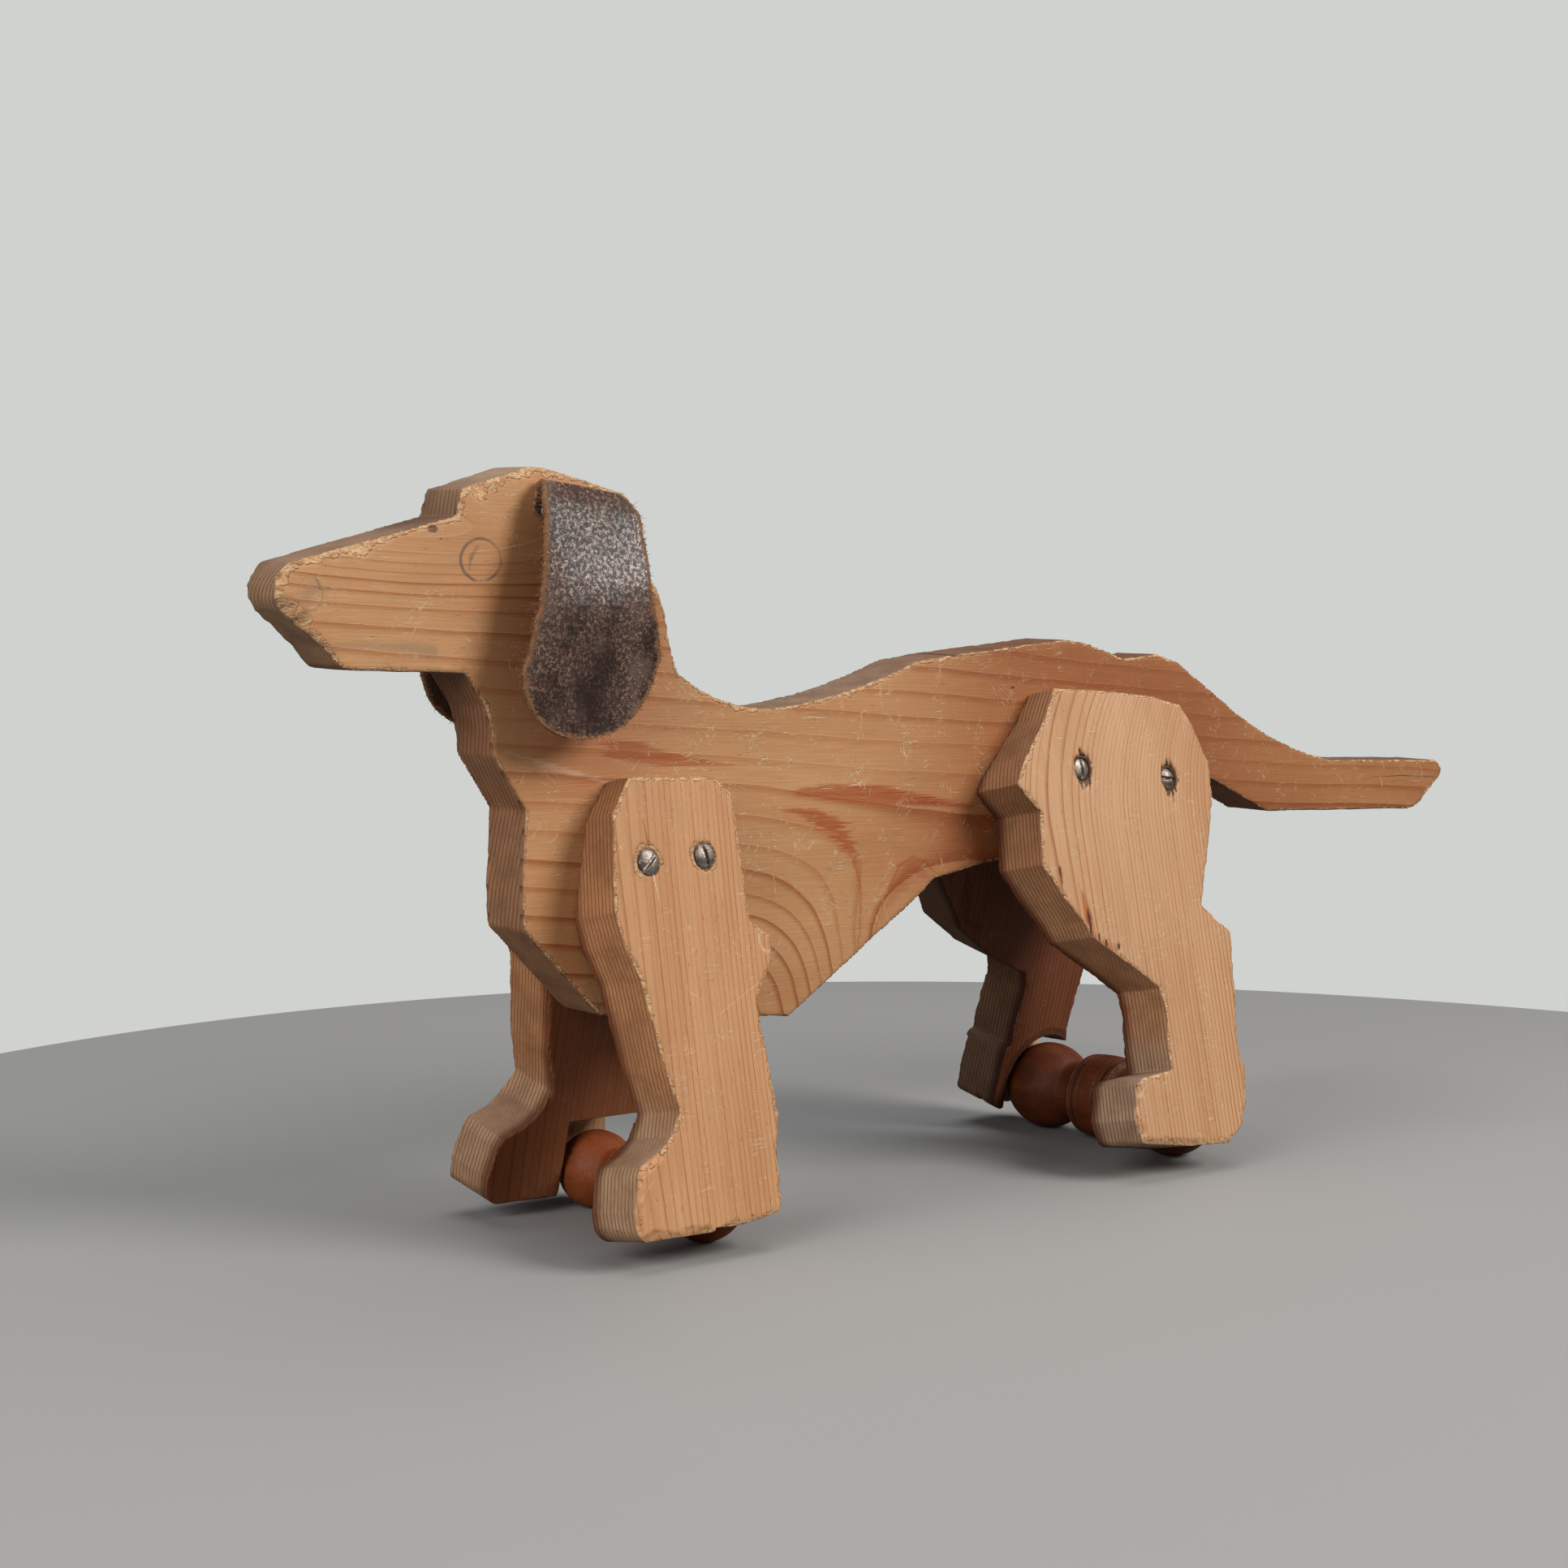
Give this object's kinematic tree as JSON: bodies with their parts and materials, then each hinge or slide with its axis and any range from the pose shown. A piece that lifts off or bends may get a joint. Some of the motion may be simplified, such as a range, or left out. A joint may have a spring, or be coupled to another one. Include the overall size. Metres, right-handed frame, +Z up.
{
  "type": "rolling toy dog",
  "caption": "Flat sawn pine toy dog with splayed board legs, folded leather ears and two turned wooden rollers between its feet.",
  "frame": {"origin": "Middle of the length and of the width, on the floor that the rollers stand on.", "axes": "+X runs from the head to the tail, +Y is the dog's right side, +Z is up."},
  "size_m": [0.54, 0.1114, 0.2215],
  "materials": {
    "pine": "aged bare pine, sawn edges grey-brown, flat faces planed",
    "turned_wood": "dark reddish-brown turned wood, worn",
    "steel": "dull weathered steel",
    "leather": "dry dark brown leather with raw tan edges"
  },
  "bodies": {
    "dog": {"body": "pine", "front_left_leg": "pine", "front_right_leg": "pine", "rear_left_leg": "pine", "rear_right_leg": "pine", "front_left_screw_fore": "steel", "front_left_screw_aft": "steel", "front_right_screw_fore": "steel", "front_right_screw_aft": "steel", "rear_left_screw_fore": "steel", "rear_left_screw_aft": "steel", "rear_right_screw_fore": "steel", "rear_right_screw_aft": "steel", "front_axle": "steel", "rear_axle": "steel", "ear_left_hem": "leather", "ear_right_hem": "leather", "ear_left_tack_fore": "steel", "ear_left_tack_aft": "steel", "ear_right_tack_fore": "steel", "ear_right_tack_aft": "steel"},
    "front_roller": {"front_roller": "turned_wood"},
    "rear_roller": {"rear_roller": "turned_wood"},
    "ear_left": {"ear_left": "leather"},
    "ear_right": {"ear_right": "leather"}
  },
  "joints": [
    {"name": "front_roller_spin", "type": "hinge", "parent": "dog", "child": "front_roller", "pos_m": [-0.134, 0, 0.012], "axis": [0, 1, 0], "continuous": true},
    {"name": "rear_roller_spin", "type": "hinge", "parent": "dog", "child": "rear_roller", "pos_m": [0.079, 0, 0.0155], "axis": [0, 1, 0], "continuous": true},
    {"name": "ear_left_flap", "type": "hinge", "parent": "dog", "child": "ear_left", "pos_m": [-0.177, -0.01165, 0.21445], "axis": [-0.9956, 0, 0.0941], "range_deg": [-4, 70], "stiffness_Nm_per_rad": 0.02},
    {"name": "ear_right_flap", "type": "hinge", "parent": "dog", "child": "ear_right", "pos_m": [-0.177, 0.01165, 0.21445], "axis": [0.9956, 0, -0.0941], "range_deg": [-4, 70], "stiffness_Nm_per_rad": 0.02}
  ]
}
